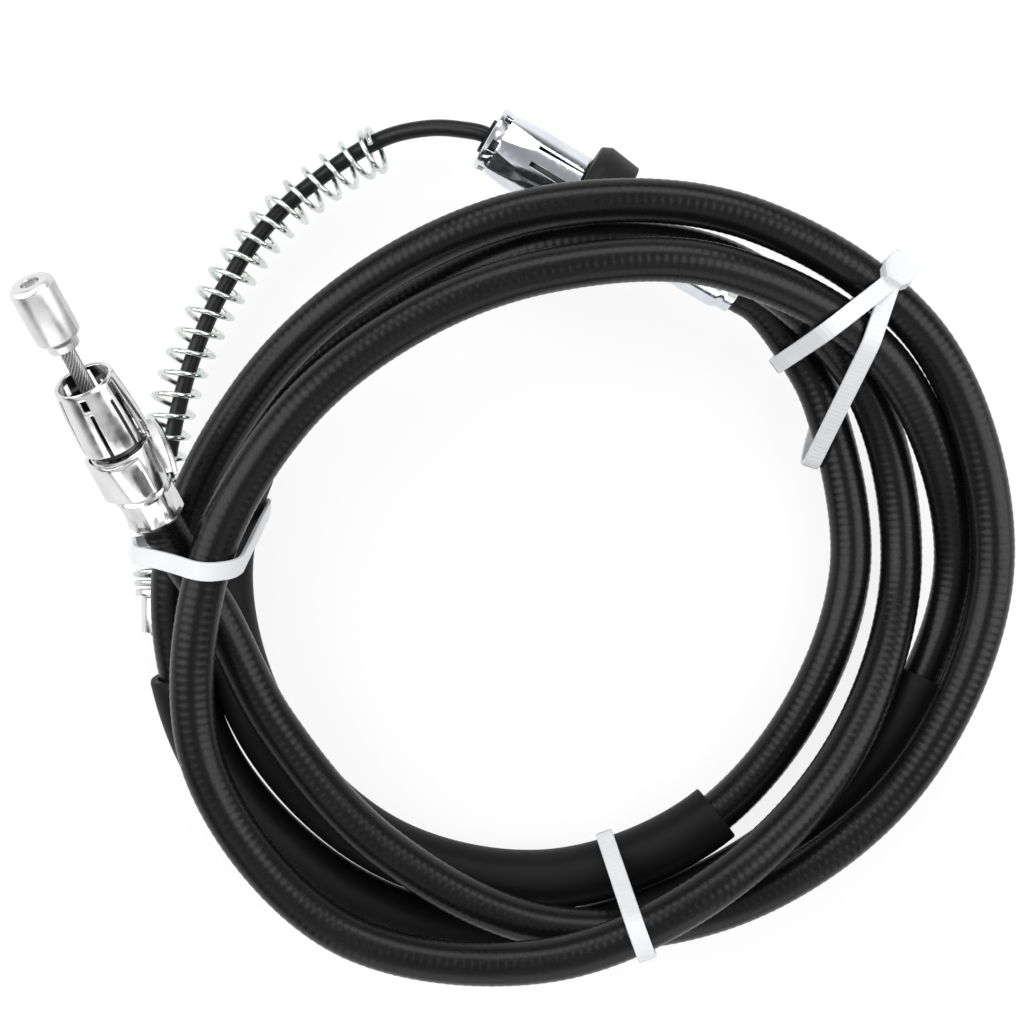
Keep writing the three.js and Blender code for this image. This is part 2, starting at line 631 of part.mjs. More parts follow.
// The convex outline round circles grown by a margin, anticlockwise
function hullAround(circles, margin) {
  const points = [];
  for (const { x, y, radius } of circles) {
    for (const corner of polygon(radius + margin, STRAP_CIRCLE_SIDES)) {
      points.push([x + corner.x, y + corner.y]);
    }
  }
  points.sort((p, q) => p[0] - q[0] || p[1] - q[1]);
  const turn = (o, p, q) => (p[0] - o[0]) * (q[1] - o[1]) - (p[1] - o[1]) * (q[0] - o[0]);
  const chain = (list) => {
    const kept = [];
    for (const p of list) {
      while (kept.length > 1 && turn(kept[kept.length - 2], kept[kept.length - 1], p) <= 1e-6) kept.pop();
      kept.push(p);
    }
    return kept.slice(0, -1);
  };
  const hull = [...chain(points), ...chain([...points].reverse())];
  const spaced = hull.filter((p, i) => {
    const next = hull[(i + 1) % hull.length];
    return Math.hypot(next[0] - p[0], next[1] - p[1]) > 0.15;
  });
  return spaced.map(([x, y]) => new THREE.Vector2(x, y));
}

function strap(discs, { through, heading, lean, head, twist, about }) {
  const [h, l, headAngle] = [heading, lean, head].map(THREE.MathUtils.degToRad);
  const e1 = new THREE.Vector3(Math.cos(h), Math.sin(h), 0);
  const side = new THREE.Vector3(Math.sin(h), -Math.cos(h), 0);
  const e2 = up.clone().multiplyScalar(Math.cos(l)).addScaledVector(side, Math.sin(l));
  const normal = new THREE.Vector3().crossVectors(e1, e2);
  const origin = asPoint(through);
  const leaves = (x, y) => twist * (x - about) * y;
  const half = TIE_WIDTH / 2 + (twist === 0 ? 0 : TWIST_SLACK);
  const circles = circlesInPlane(discs, origin, e1, e2, normal, leaves, half);
  const outline = new THREE.Shape(hullAround(circles, SEAT + TIE_WALL));
  outline.holes.push(new THREE.Path(hullAround(circles, SEAT).reverse()));
  const band = new THREE.ExtrudeGeometry(outline, { depth: TIE_WIDTH, bevelEnabled: false });
  twisted(band.translate(0, 0, -TIE_WIDTH / 2), leaves);
  // The head sits on the strap's outside, where the outline is furthest towards its angle
  const out = new THREE.Vector2(Math.cos(headAngle), Math.sin(headAngle));
  const rim = hullAround(circles, SEAT).reduce((best, p) => (p.dot(out) > best.dot(out) ? p : best));
  const [length, height, width] = TIE_HEAD;
  const block = new THREE.BoxGeometry(length, height, width).translate(0, height / 2, 0);
  block.rotateZ(headAngle - Math.PI / 2).translate(rim.x, rim.y, leaves(rim.x, rim.y));
  const placed = new THREE.Matrix4().makeBasis(e1, e2, normal).setPosition(origin);
  return [band, block].map((geometry) => geometry.applyMatrix4(placed));
}

// Discs along the straight facets between stations, each with its radius there
function discsAlong(points, perFacet, radiusAt) {
  const discs = [];
  points.slice(1).forEach((next, i) => {
    for (let k = 0; k < perFacet; k += 1) {
      const at = new THREE.Vector3().lerpVectors(points[i], next, k / perFacet);
      discs.push({ at, radius: radiusAt(i + k / perFacet) });
    }
  });
  return discs;
}

function build() {
  const cable = new THREE.Group();
  cable.position.set(...TO_PART_FRAME);

  const drillRadius = armourRadius + SEAT;
  const ends = [FITTING_B, FITTING_A].map((fitting) => {
    const drill = rod(drillRadius, CONDUIT_SEAT - OPEN_DEPTH, CONDUIT_SEAT + 1, 20);
    const holder = fittingGroup(fitting);
    holder.updateMatrix();
    return drill.applyMatrix4(holder.matrix);
  });
  const conduit = along(route, CONDUIT_STEPS, conduitRadius, CONDUIT_SIDES);
  add(cable, 'conduit', cut(conduit, ends), black);

  const clearOfConduit = (conduitRadius + SEAT) / Math.cos(Math.PI / SLEEVE_SIDES);
  const bore = Math.min(clearOfConduit, SLEEVE_OD / 2 - SLEEVE_WALL);
  const sleeveSpans = [SLEEVE_1_ANGLES, SLEEVE_2_ANGLES].map((span) => span.map(stationNearest));
  sleeveSpans.forEach(([from, to], i) => {
    const stretch = new Stretch(route, from / CONDUIT_STEPS, to / CONDUIT_STEPS);
    const sleeve = along(stretch, to - from, SLEEVE_OD / 2, SLEEVE_SIDES, bore);
    add(cable, `guard_sleeve_${i + 1}`, sleeve, matteBlack);
  });

  const groupA = fittingGroup(FITTING_A);
  const groupB = fittingGroup(FITTING_B);
  cable.add(groupA, groupB);
  buildFittingA(groupA);
  const { mouth, floorEnd } = buildFittingB(groupB);
  const coated = coatedCurve(floorEnd, mouth);
  coated.arcLengthDivisions = 1200;
  buildStrandEnd(cable, coated, mouth);

  const sleeved = (station) => sleeveSpans.some(([from, to]) => station > from - 0.4 && station < to + 0.4);
  const discs = [
    ...discsAlong(stations, 14, (station) => (sleeved(station) ? SLEEVE_OD / 2 : conduitRadius)),
    ...discsAlong(coated.getSpacedPoints(COATED_STEPS), 4, () => SPRING_OD / 2),
  ];
  [TIE_1, TIE_2, TIE_3].forEach((loops, i) => {
    add(cable, `cable_tie_${i + 1}`, join(loops.flatMap((loop) => strap(discs, loop))), nylon);
  });

  const object = new THREE.Group();
  object.add(cable);
  return object;
}

export default build();
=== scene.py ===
import math

import bpy
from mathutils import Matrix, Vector


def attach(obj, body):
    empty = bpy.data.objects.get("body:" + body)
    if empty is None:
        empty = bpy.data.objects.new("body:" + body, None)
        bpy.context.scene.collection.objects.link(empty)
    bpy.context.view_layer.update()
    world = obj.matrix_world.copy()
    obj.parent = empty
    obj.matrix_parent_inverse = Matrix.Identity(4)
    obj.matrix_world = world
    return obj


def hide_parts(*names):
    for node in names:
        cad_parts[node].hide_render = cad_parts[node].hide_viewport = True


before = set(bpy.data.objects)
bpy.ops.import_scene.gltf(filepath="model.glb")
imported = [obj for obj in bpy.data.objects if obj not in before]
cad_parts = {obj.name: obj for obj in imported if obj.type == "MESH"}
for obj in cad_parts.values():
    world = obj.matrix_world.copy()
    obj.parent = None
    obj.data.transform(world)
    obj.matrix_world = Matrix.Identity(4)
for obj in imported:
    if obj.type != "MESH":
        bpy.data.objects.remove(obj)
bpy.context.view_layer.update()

# Sizes in millimetres, in the coil's own frame: its floor is z 0. SHIFT takes it to the part's frame.
MM = 0.001
SHIFT = Vector((-8.3, 8.4, 5.5))
CAMERA_HEIGHT = 400.0
LENS = 54.6

CONDUIT_OD = 10.4
RIB_PITCH = 2.0
RIB_DEPTH = 0.07
SLEEVE_OD = 15.0
SLEEVE_BORE = 11.2
SLEEVE_COVER = 4.0
SLEEVE_ANGLES = [(55.0, 198.0), (736.5, 883.5)]

# The route: clockwise from +X about the centre, radius and height above a conduit on the floor
COIL_CENTRE = (8.2, -13.8)
FIRST_ANGLE = -30.0
ANGLE_STEP = 30.0
TURNS = [
    (82.0, 0.0), (77.8, 0.0), (74.8, 0.6), (76.2, 2.4), (79.1, 2.3), (81.2, 2.3),
    (81.5, 2.3), (81.2, 2.4), (78.0, 3.5), (73.3, 9.8), (77.3, 22.0), (85.5, 22.5),
    (91.4, 7.6), (89.9, 3.2), (85.4, 15.8), (84.8, 26.8), (92.0, 28.2), (98.4, 27.3),
    (92.9, 29.8), (79.1, 33.6), (68.9, 38.0), (65.3, 38.8), (69.1, 38.8), (81.5, 34.5),
    (97.2, 18.6), (102.8, 5.2), (96.2, 2.4), (91.9, 2.3), (94.7, 2.3), (96.7, 2.3),
    (96.8, 4.2), (91.4, 13.2), (83.3, 17.8), (80.7, 25.4), (85.2, 31.0), (95.9, 28.5),
    (107.6, 20.7), (109.1, 15.6), (102.1, 15.6), (94.1, 16.0), (87.1, 15.8), (78.5, 15.8), (76.0, 16.0),
]
NEAR_FITTING_B = [(71.4, 41.6, 6.2)]
NEAR_FITTING_A = [(-72.0, -23.0, 24.5)]
CONDUIT_SEAT = 8.0
STRAIGHT_LEAD = 7.0

COATED_D = 4.1
COATED_PATH = [
    (-12.4, 94.4, 16.6), (-18.6, 95.2, 15.2), (-25.1, 94.9, 13.6), (-30.6, 93.9, 12.0), (-36.0, 91.9, 10.4),
    (-42.6, 88.4, 8.8), (-49.6, 83.7, 7.4), (-56.0, 78.8, 6.5), (-61.8, 72.7, 6.9), (-67.0, 66.2, 6.9),
    (-71.4, 59.1, 6.9), (-75.3, 52.3, 6.9), (-78.5, 45.0, 6.9), (-81.2, 37.8, 6.9), (-83.4, 30.3, 6.9),
    (-85.2, 22.8, 6.9), (-86.6, 15.5, 6.9), (-87.6, 7.5, 6.9), (-88.4, -1.0, 6.9), (-89.0, -9.5, 6.9),
    (-89.3, -18.0, 6.9), (-89.3, -31.0, 6.9),
]
SPRING_OD = 12.2
SPRING_WIRE = 1.4
SPRING_PITCH = 5.2
SPRING_START = 30.0
SPRING_SAG = 2.0
SPRING_SAG_SHARE = 0.45
SPRING_BOW = 1.5
SPRING_STEPS = 22
CLOSED_TURNS = 1.2
CLOSED_SHARE = 0.4
CUP_D = 11.6
CUP_LENGTH = 1.6
BUTTON_D = 8.6
BUTTON_LENGTH = 9.0
BUTTON_TO_END = 0.6
SEAT_GAP = 0.3
COATED_BORE = 4.7
TIE_WIDTH = 4.3
TIE_WALL = 1.2
TIE_SEAT = 0.3
TIE_EDGE = 0.22
TIE_GROOVE = 0.1
TIE_GROOVE_PITCH = 1.2
TIE_HEAD = (6.2, 3.6, 5.6)
TIE_REACH = 46.0
# Each loop: a point of its plane, its heading and lean, its head's angle, its twist and where that is none
TIES = [
    ("cable_tie_1", [((-69, -14, 46), -8, 13, -120, 0.01, -9)]),
    ("cable_tie_2", [((88.8, 54, 30), 37.7, 0, 55, 0, 0), ((88.8, 52.8, 30), 72.3, 0, 55, 0, 0)]),
    ("cable_tie_3", [((28.6, -96, 15), -70.2, 0, -60, 0, 0)]),
]
TWIST_SLACK = 3.0
HEAD_CUT = 0.45
HEAD_HEADING = 55.0
HEAD_TILT = 28.0


class Fitting:
    """An end fitting's own axes: along runs out of it, angles turn from its upper side to its right."""

    def __init__(self, root, heading, rise):
        h, r = math.radians(heading), math.radians(rise)
        self.root = Vector(root)
        self.y = Vector((math.cos(h) * math.cos(r), math.sin(h) * math.cos(r), math.sin(r)))
        self.x = self.y.cross(Vector((0, 0, 1))).normalized()
        self.z = self.x.cross(self.y)

    def point(self, along, radius=0.0, angle=0.0):
        a = math.radians(angle)
        return self.root + self.y * along + (self.x * math.sin(a) + self.z * math.cos(a)) * radius


FITTING_A = Fitting((-83.0, -0.9, 36.0), 110.5, 36)
FITTING_B = Fitting((56.6, 55.6, 9.6), 149.45, 6)

# Diameters, and distances along each fitting's axis from its root
FERRULE_BORE = 11.0
PASSAGE_D = 5.0
SHEET_WALL = 0.8
SHEET_BEVEL = 0.12

FERRULE_A_D = 14.2
FERRULE_A_LENGTH = 9.3
FERRULE_A_ACROSS = 13.2
FLAT_FADE = 0.8
COLLAR_A_START = 9.6
COLLAR_A_END = 21.0
CHAMBER_A_START = 15.6
CHAMBER_A_D = 8.4
TUBE_A_D = 10.8
TUBE_A_END = 34.1
CLIP_A_D = 16.6
CLIP_A_START = 10.4
CLIP_A_END = 20.2
CLIP_A_WALL = 0.9
CLIP_A_GAP_AT = 62.0
CLIP_A_GAP_HALF = 30.0
CLIP_A_WAVE = 0.35
PRONG_HALF_WALL = 0.45
SLEEVE_A_START = 23.3
SLEEVE_A_RING = 34.6
MOUTH_A = 39.6
BARREL_START = MOUTH_A + 8.6
BARREL_END = MOUTH_A + 25.2
BARREL_D = 10.0
BARREL_BORE = 4.1
STRAND_D = 3.5
STRAND_WIRES = 12
STRAND_LAY = 14.0

REAR_B_D = 14.4
REAR_B_LENGTH = 17.0
SHANK_B_START = 17.3
SHANK_B_D = 13.0
COATED_START = 34.1
CHAMBER_B_START = 38.1
FLANGE_B_START = 44.1
FLANGE_B_END = 46.1
FLANGE_B_D = 18.6
TUBE_B_D = 12.4
TUBE_B_BORE = 9.4
TUBE_B_END = 72.4
BOOT_D = 27.2
BOOT_BACK_D = 25.4
BOOT_BACK = 37.0
BOOT_FACE = 48.0
NOSE_START = 48.3
NOSE_GROOVE = 69.6
NOSE_LIP = 71.4
MOUTH_B = 72.7
TANG_END = 60.5
TANG_LIFT = 0.09


def catmull(points, per):
    """A centripetal Catmull-Rom curve through the points, per pieces to each stretch."""
    pts = [Vector(p) for p in points]
    pts = [pts[0] * 2 - pts[1]] + pts + [pts[-1] * 2 - pts[-2]]
    out = []
    for p0, p1, p2, p3 in zip(pts, pts[1:], pts[2:], pts[3:]):
        d0, d1, d2 = (math.sqrt((b - a).length) for a, b in ((p0, p1), (p1, p2), (p2, p3)))
        t1 = ((p1 - p0) / d0 - (p2 - p0) / (d0 + d1) + (p2 - p1) / d1) * d1
        t2 = ((p2 - p1) / d1 - (p3 - p1) / (d1 + d2) + (p3 - p2) / d2) * d1
        c2, c3 = (p2 - p1) * 3 - t1 * 2 - t2, (p1 - p2) * 2 + t1 + t2
        for k in range(per):
            t = k / per
            out.append(p1 + t1 * t + c2 * t * t + c3 * t ** 3)
    return out + [pts[-2]]


class Line:
    """A fine polyline that can be read at any distance along it."""

    def __init__(self, points):
        self.points = points
        self.at = [0.0]
        for a, b in zip(points, points[1:]):
            self.at.append(self.at[-1] + (b - a).length)
        self.length = self.at[-1]

    def point(self, s):
        s = min(max(s, 0.0), self.length)
        lo, hi = 0, len(self.at) - 1
        while hi - lo > 1:
            mid = (lo + hi) // 2
            if self.at[mid] <= s:
                lo = mid
            else:
                hi = mid
        return self.points[lo].lerp(self.points[hi], (s - self.at[lo]) / (self.at[hi] - self.at[lo]))

    def tangent(self, s):
        return (self.point(s + 0.3) - self.point(s - 0.3)).normalized()


def coil_point(index):
    radius, lift = TURNS[index]
    a = math.radians(FIRST_ANGLE + ANGLE_STEP * index)
    x, y = COIL_CENTRE
    return Vector((x + radius * math.cos(a), y - radius * math.sin(a), CONDUIT_OD / 2 + lift))


ROUTE = Line(catmull(
    [FITTING_B.point(CONDUIT_SEAT), FITTING_B.point(0), FITTING_B.point(-STRAIGHT_LEAD)] + NEAR_FITTING_B
    + [coil_point(i) for i in range(len(TURNS))]
    + NEAR_FITTING_A + [FITTING_A.point(-STRAIGHT_LEAD), FITTING_A.point(0), FITTING_A.point(CONDUIT_SEAT)],
    40))
COATED = Line(catmull([FITTING_B.point(COATED_START), FITTING_B.point(MOUTH_B - 4),
                       FITTING_B.point(MOUTH_B + 1.5)] + COATED_PATH, 24))


class Shape:
    """Collects a mesh in millimetres, with its distance around and along as UVs."""

    def __init__(self):
        self.verts, self.faces, self.uvs = [], [], []

    def grid(self, rows, uv=None):
        """Rows of points joined in order, each row closed round."""
        base, n = len(self.verts), len(rows[0])
        for row in rows:
            self.verts.extend(row)
        for i in range(len(rows) - 1):
            for j in range(n):
                k = (j + 1) % n
                self.faces.append([base + i * n + j, base + i * n + k, base + (i + 1) * n + k,
                                   base + (i + 1) * n + j])
                if uv:
                    u0, u1 = j / n, (j + 1) / n
                    self.uvs.append([(u0, uv[i]), (u1, uv[i]), (u1, uv[i + 1]), (u0, uv[i + 1])])
                else:
                    self.uvs.append([(0, 0)] * 4)
        return base, n

    def cap(self, first, n, flip=False):
        ring = [first + j for j in range(n)]
        self.faces.append(ring if flip else ring[::-1])
        self.uvs.append([(0, 0)] * n)

    def make(self, name, material, sharp=None):
        mesh = bpy.data.meshes.new(name)
        mesh.from_pydata([(v + SHIFT) * MM for v in self.verts], [], self.faces)
        layer = mesh.uv_layers.new(name="along")
        flat = [c for face in self.uvs for uv in face for c in uv]
        layer.data.foreach_set("uv", flat)
        mesh.validate()
        mesh.materials.append(material)
        obj = bpy.data.objects.new(name, mesh)
        bpy.context.scene.collection.objects.link(obj)
        mesh.polygons.foreach_set("use_smooth", [True] * len(mesh.polygons))
        if sharp is not None:
            mesh.set_sharp_from_angle(angle=math.radians(sharp))
        return obj


def sweep(shape, points, radii, sides, bore=None, normal=None):
    """A round tube along points, with caps, or open through its bore."""
    n = len(points)
    tangents = [(points[min(i + 1, n - 1)] - points[max(i - 1, 0)]).normalized() for i in range(n)]
    side = normal or Vector((0, 0, 1))
    rows, inner, uv, s = [], [], [], 0.0
    for i, (p, t) in enumerate(zip(points, tangents)):
        if i:
            s += (p - points[i - 1]).length
        side = (side - t * side.dot(t)).normalized()
        other = t.cross(side)
        ring = [side * math.cos(2 * math.pi * j / sides) + other * math.sin(2 * math.pi * j / sides)
                for j in range(sides)]
        rows.append([p + v * radii[i] for v in ring])
        if bore:
            inner.append([p + v * bore for v in ring])
        uv.append(s)
    if bore:
        loop = rows + inner[::-1] + [rows[0]]
        shape.grid(loop, uv=uv + uv[::-1] + [uv[0]])
    else:
        base, m = shape.grid(rows, uv=uv)
        shape.cap(base, m)
        shape.cap(base + (len(rows) - 1) * m, m, flip=True)


def turned(shape, place, profile, sides=64, form=None):
    """Turns a closed profile of (radius, along) about a fitting's axis; form can reshape each radius."""
    rows, uv = [], []
    for r, along in profile + [profile[0]]:
        row = []
        for j in range(sides):
            angle = 360.0 * j / sides
            row.append(place.point(along, form(r, along, angle) if form else r, angle))
        rows.append(row)
        uv.append(along + r)
    shape.grid(rows, uv=uv)


def rounded(profile, size):
    """Cuts each corner of a closed profile back by size, with a point in the middle of the curve."""
    out = []
    n = len(profile)
    for i, p in enumerate(profile):
        a, b = profile[i - 1], profile[(i + 1) % n]
        la, lb = math.dist(p, a), math.dist(p, b)
        ca, cb = min(size, la * 0.4), min(size, lb * 0.4)
        pa = tuple(p[k] + (a[k] - p[k]) * ca / la for k in range(2))
        pb = tuple(p[k] + (b[k] - p[k]) * cb / lb for k in range(2))
        mid = tuple((pa[k] + pb[k]) / 4 + p[k] / 2 for k in range(2))
        out += [pa, mid, pb]
    return out


# Materials
def new_material(name, color, rough, metallic=0.0):
    material = bpy.data.materials.new(name)
    material.use_nodes = True
    shader = material.node_tree.nodes["Principled BSDF"]
    shader.inputs["Base Color"].default_value = (*color, 1)
    shader.inputs["Roughness"].default_value = rough
    shader.inputs["Metallic"].default_value = metallic
    return material, shader


def node(material, kind, **values):
    n = material.node_tree.nodes.new(kind)
    for key, value in values.items():
        if key in n.inputs:
            n.inputs[key].default_value = value
        else:
            setattr(n, key, value)
    return n


def link(material, a, b):
    material.node_tree.links.new(a, b)


def noise(material, scale, detail):
    coords = node(material, "ShaderNodeTexCoord")
    n = node(material, "ShaderNodeTexNoise", Scale=scale, Detail=detail)
    link(material, coords.outputs["Object"], n.inputs["Vector"])
    return n.outputs["Fac"]


def ramp(material, source, stops):
    r = node(material, "ShaderNodeValToRGB")
    link(material, source, r.inputs["Fac"])
    elements = r.color_ramp.elements
    while len(elements) < len(stops):
        elements.new(0.5)
    for element, (at, color) in zip(elements, stops):
        element.position = at
        element.color = (*color, 1) if isinstance(color, tuple) else (color, color, color, 1)
    return r.outputs["Color"]


def bump(material, shader, source, strength, distance):
    b = node(material, "ShaderNodeBump", Strength=strength, Distance=distance)
    link(material, source, b.inputs["Height"])
    link(material, b.outputs["Normal"], shader.inputs["Normal"])


def plastic(name, dark, light, rough, grain, depth):
    """A plastic with cloudy colour and a fine grain in its polish and surface."""
    material, shader = new_material(name, dark, rough)
    broad = noise(material, 60, 3)
    link(material, ramp(material, broad, [(0.3, dark), (0.75, light)]), shader.inputs["Base Color"])
    fine = noise(material, grain, 5)
    polish = ramp(material, fine, [(0.25, rough - 0.08), (0.8, rough + 0.1)])
    link(material, polish, shader.inputs["Roughness"])
    bump(material, shader, fine, 0.4, depth)
    return material, shader


def metal(name, color, tint, rough, depth=0.00002, grain=900):
    """A metal whose colour wanders towards its tint, with a fine grain."""
    material, shader = new_material(name, color, rough, 1.0)
    broad = noise(material, 140, 4)
    link(material, ramp(material, broad, [(0.3, color), (0.7, tint)]), shader.inputs["Base Color"])
    fine = noise(material, grain, 6)
    polish = ramp(material, fine, [(0.3, rough - 0.05), (0.7, rough + 0.09)])
    link(material, polish, shader.inputs["Roughness"])
    bump(material, shader, fine, 0.25, depth)
    return material


jacket, jacket_shader = plastic("jacket", (0.003, 0.003, 0.0033), (0.005, 0.005, 0.0054), 0.29, 1400,
                                0.00002)
guard, guard_shader = plastic("guard_rubber", (0.004, 0.004, 0.0043), (0.006, 0.006, 0.0064), 0.48, 2200,
                              0.00003)
boot, boot_shader = plastic("boot_rubber", (0.0045, 0.0045, 0.0049), (0.0075, 0.0075, 0.008), 0.5, 2600,
                            0.00004)
coating, coating_shader = plastic("strand_coating", (0.0045, 0.0045, 0.0049), (0.007, 0.007, 0.0075), 0.36,
                                  1800, 0.00003)
for shader, shine in ((jacket_shader, 0.22), (guard_shader, 0.12), (boot_shader, 0.22),
                      (coating_shader, 0.25)):
    shader.inputs["Specular IOR Level"].default_value = shine
liner, _ = plastic("liner_plastic", (0.62, 0.63, 0.61), (0.72, 0.73, 0.71), 0.45, 900, 0.00002)
nylon, nylon_shader = plastic("tie_nylon", (0.58, 0.59, 0.605), (0.66, 0.67, 0.685), 0.42, 700, 0.00003)
nylon_shader.inputs["Subsurface Weight"].default_value = 0.25
nylon_shader.inputs["Subsurface Radius"].default_value = (0.002, 0.002, 0.002)
zinc = metal("zinc_plate", (0.66, 0.66, 0.665), (0.80, 0.80, 0.80), 0.16, 0.00004, 420)
zinc_blue = metal("zinc_plate_blue", (0.66, 0.70, 0.75), (0.80, 0.83, 0.86), 0.12)
cast = metal("barrel_cast", (0.66, 0.66, 0.665), (0.82, 0.82, 0.82), 0.32, 0.00009, 420)
wire = metal("strand_wire", (0.26, 0.26, 0.265), (0.42, 0.42, 0.425), 0.33, 0.00002, 1500)
# Painted shade: a near-black metal standing in for the shadow inside the fittings' bodies
painted_shade_metal = metal("zinc_painted_shade", (0.05, 0.05, 0.052), (0.10, 0.10, 0.102), 0.45)
spring_metal = metal("spring_wire", (0.58, 0.62, 0.60), (0.80, 0.83, 0.81), 0.18, 0.00001, 1500)


# The camera looks straight down over the middle of the photograph
camera_data = bpy.data.cameras.new("camera")
camera_data.lens = LENS
camera_data.sensor_width = 36
camera_data.clip_start = 0.01
camera = bpy.data.objects.new("camera", camera_data)
camera.location = (SHIFT + Vector((0, 0, CAMERA_HEIGHT))) * MM
bpy.context.scene.collection.objects.link(camera)
bpy.context.scene.camera = camera


def shade_past(obj, place, along):
    """Gives the faces past a distance along a fitting a near-black metal, painted shade for the shadowed
    inside that its slots show.
    """
    obj.data.materials.append(painted_shade_metal)
    for face in obj.data.polygons:
        centre = face.center / MM - SHIFT - place.root
        if centre.dot(place.y) > along:
            face.material_index = 1


def keep(obj, body, slot, *nodes):
    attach(obj, body)
    if nodes:
        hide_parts(*nodes)
    return obj


def angles_along(line, step):
    """The unwound clockwise angle at each step along the route."""
    found, last = [], -60.0
    for k in range(int(line.length / step) + 1):
        p = line.point(k * step)
        raw = -math.degrees(math.atan2(p.y - COIL_CENTRE[1], p.x - COIL_CENTRE[0]))
        last = raw + 360 * round((last - raw) / 360)
        found.append(last)
    return found


ANGLES = angles_along(ROUTE, 1.0)


def distance_at(angle):
    return min(range(len(ANGLES)), key=lambda k: abs(ANGLES[k] - angle))


SPANS = [(distance_at(a), distance_at(b)) for a, b in SLEEVE_ANGLES]


def hidden(s):
    """Whether a place along the conduit lies well inside a guard sleeve."""
    return any(a + SLEEVE_COVER < s < b - SLEEVE_COVER for a, b in SPANS)


# Conduit: fine ribs run round it, except under the guard sleeves
def make_conduit():
    radii, where, s = [], [], 0.0
    per = 4
    wave = (0.0, 0.62, 1.0, 0.62)
    k = 0
    while s < ROUTE.length:
        where.append(s)
        radii.append(CONDUIT_OD / 2 - (0 if hidden(s) else RIB_DEPTH * wave[k % per]))
        s += SLEEVE_COVER if hidden(s) else RIB_PITCH / per
        k += 1
    where.append(ROUTE.length)
    radii.append(CONDUIT_OD / 2)
    points = [ROUTE.point(s) for s in where]
    shape = Shape()
    sweep(shape, points, radii, 20)
    return shape.make("conduit_jacket", jacket), points


conduit, conduit_path = make_conduit()
keep(conduit, "cable", "jacket", "conduit")


def make_sleeve(name, start, end):
    steps = 110
    points = [ROUTE.point(start + (end - start) * i / steps) for i in range(steps + 1)]
    radii = [SLEEVE_OD / 2] * (steps + 1)
    radii[0] = radii[-1] = SLEEVE_OD / 2 - 0.25
    points[1] = ROUTE.point(start + 0.4)
    points[-2] = ROUTE.point(end - 0.4)
    shape = Shape()
    sweep(shape, points, radii, 32, bore=SLEEVE_BORE / 2)
    return shape.make(name, guard, sharp=35)


for i, (start, end) in enumerate(SPANS):
    sleeve = make_sleeve(f"sleeve_{i + 1}", start, end)
    keep(sleeve, "cable", "guard_rubber", f"guard_sleeve_{i + 1}")


def make_coated():
    n = int(COATED.length / 1.0)
    points = [COATED.point(COATED.length * i / n) for i in range(n + 1)]
    shape = Shape()
    sweep(shape, points, [COATED_D / 2] * (n + 1), 18)
    return shape.make("coated_strand", coating), points


coated, coated_path = make_coated()
keep(coated, "cable", "coating", "coated_strand_b")


# Fitting A
def flats(count, across, start, end, turn):
    """Crimped flats between two places along a ferrule, fading into the round at each end."""
    def form(r, along, angle):
        share = min(1.0, max(0.0, (along - start) / FLAT_FADE), max(0.0, (end - along) / FLAT_FADE))
        step = 360.0 / count
        away = math.radians((angle - turn + step / 2) % step - step / 2)
        flat = across / 2 / math.cos(away)
        if r < across / 2 - FLAT_FADE:
            return r
        return r + (min(r, flat) - r) * share
    return form


shape = Shape()
bore, r, end = FERRULE_BORE / 2, FERRULE_A_D / 2, FERRULE_A_LENGTH
ferrule_rows = [(bore, 0), (r - 1.0, 0), (r - 0.5, 0.5), (r - 0.05, 1.2), (r, 2.0), (r, 4.6),
                (r, end - 1.9), (r - 0.05, end - 1.1), (r - 0.5, end - 0.4), (r - 1.0, end), (bore, end)]
turned(shape, FITTING_A, ferrule_rows, 96, flats(8, FERRULE_A_ACROSS, 1.2, end - 1.1, 17))
ferrule_a = shape.make("ferrule_a_plate", zinc, sharp=24)
keep(ferrule_a, "cable", "zinc_steel", "ferrule_a")

shape = Shape()
passage, collar, tube, chamber = PASSAGE_D / 2, FERRULE_A_D / 2, TUBE_A_D / 2, CHAMBER_A_D / 2
body_rows = rounded([(passage, COLLAR_A_START), (collar, COLLAR_A_START), (collar, COLLAR_A_END),
                     (tube, COLLAR_A_END), (tube, TUBE_A_END), (chamber, TUBE_A_END),
                     (chamber, CHAMBER_A_START), (passage, CHAMBER_A_START)], 0.35)
turned(shape, FITTING_A, body_rows, 64)
body_a = shape.make("body_a_plate", zinc, sharp=35)
# Painted shade: the body past its collar lies in shadow under the slotted sleeve and takes the near-black
# metal
shade_past(body_a, FITTING_A, COLLAR_A_END)
keep(body_a, "cable", "zinc_steel", "fitting_body_a")


def shell(shape, place, rows, columns, stays, lift=None):
    """A thin shell round a fitting, made of the cells that stay, for a solidify modifier to thicken."""
    n = len(columns) - 1
    base = len(shape.verts)
    for along, r in rows:
        for angle in columns[:-1]:
            extra = lift(along, angle) if lift else 0.0
            shape.verts.append(place.point(along, r + extra, angle))
    for i in range(len(rows) - 1):
        for j in range(n):
            along = (rows[i][0] + rows[i + 1][0]) / 2
            angle = (columns[j] + columns[j + 1]) / 2
            if not stays(along, angle):
                continue
            k = (j + 1) % n
            shape.faces.append([base + i * n + j, base + i * n + k, base + (i + 1) * n + k,
                                base + (i + 1) * n + j])
            shape.uvs.append([(0, 0)] * 4)


def thicken(obj, wall):
    """Gives a shell its wall, inwards, and breaks its edges."""
    solid = obj.modifiers.new("wall", "SOLIDIFY")
    solid.thickness = wall * MM
    solid.offset = -1
    solid.use_even_offset = True
    bevel = obj.modifiers.new("edge", "BEVEL")
    bevel.width = SHEET_BEVEL * MM
    bevel.segments = 2
    bevel.limit_method = "ANGLE"
    bevel.angle_limit = math.radians(40)
    return obj


def near(angle, centre, half):
    return abs((angle - centre + 180) % 360 - 180) < half


def spread(start, end, step):
    n = max(1, round((end - start) / step))
    return [start + (end - start) * i / n for i in range(n + 1)]


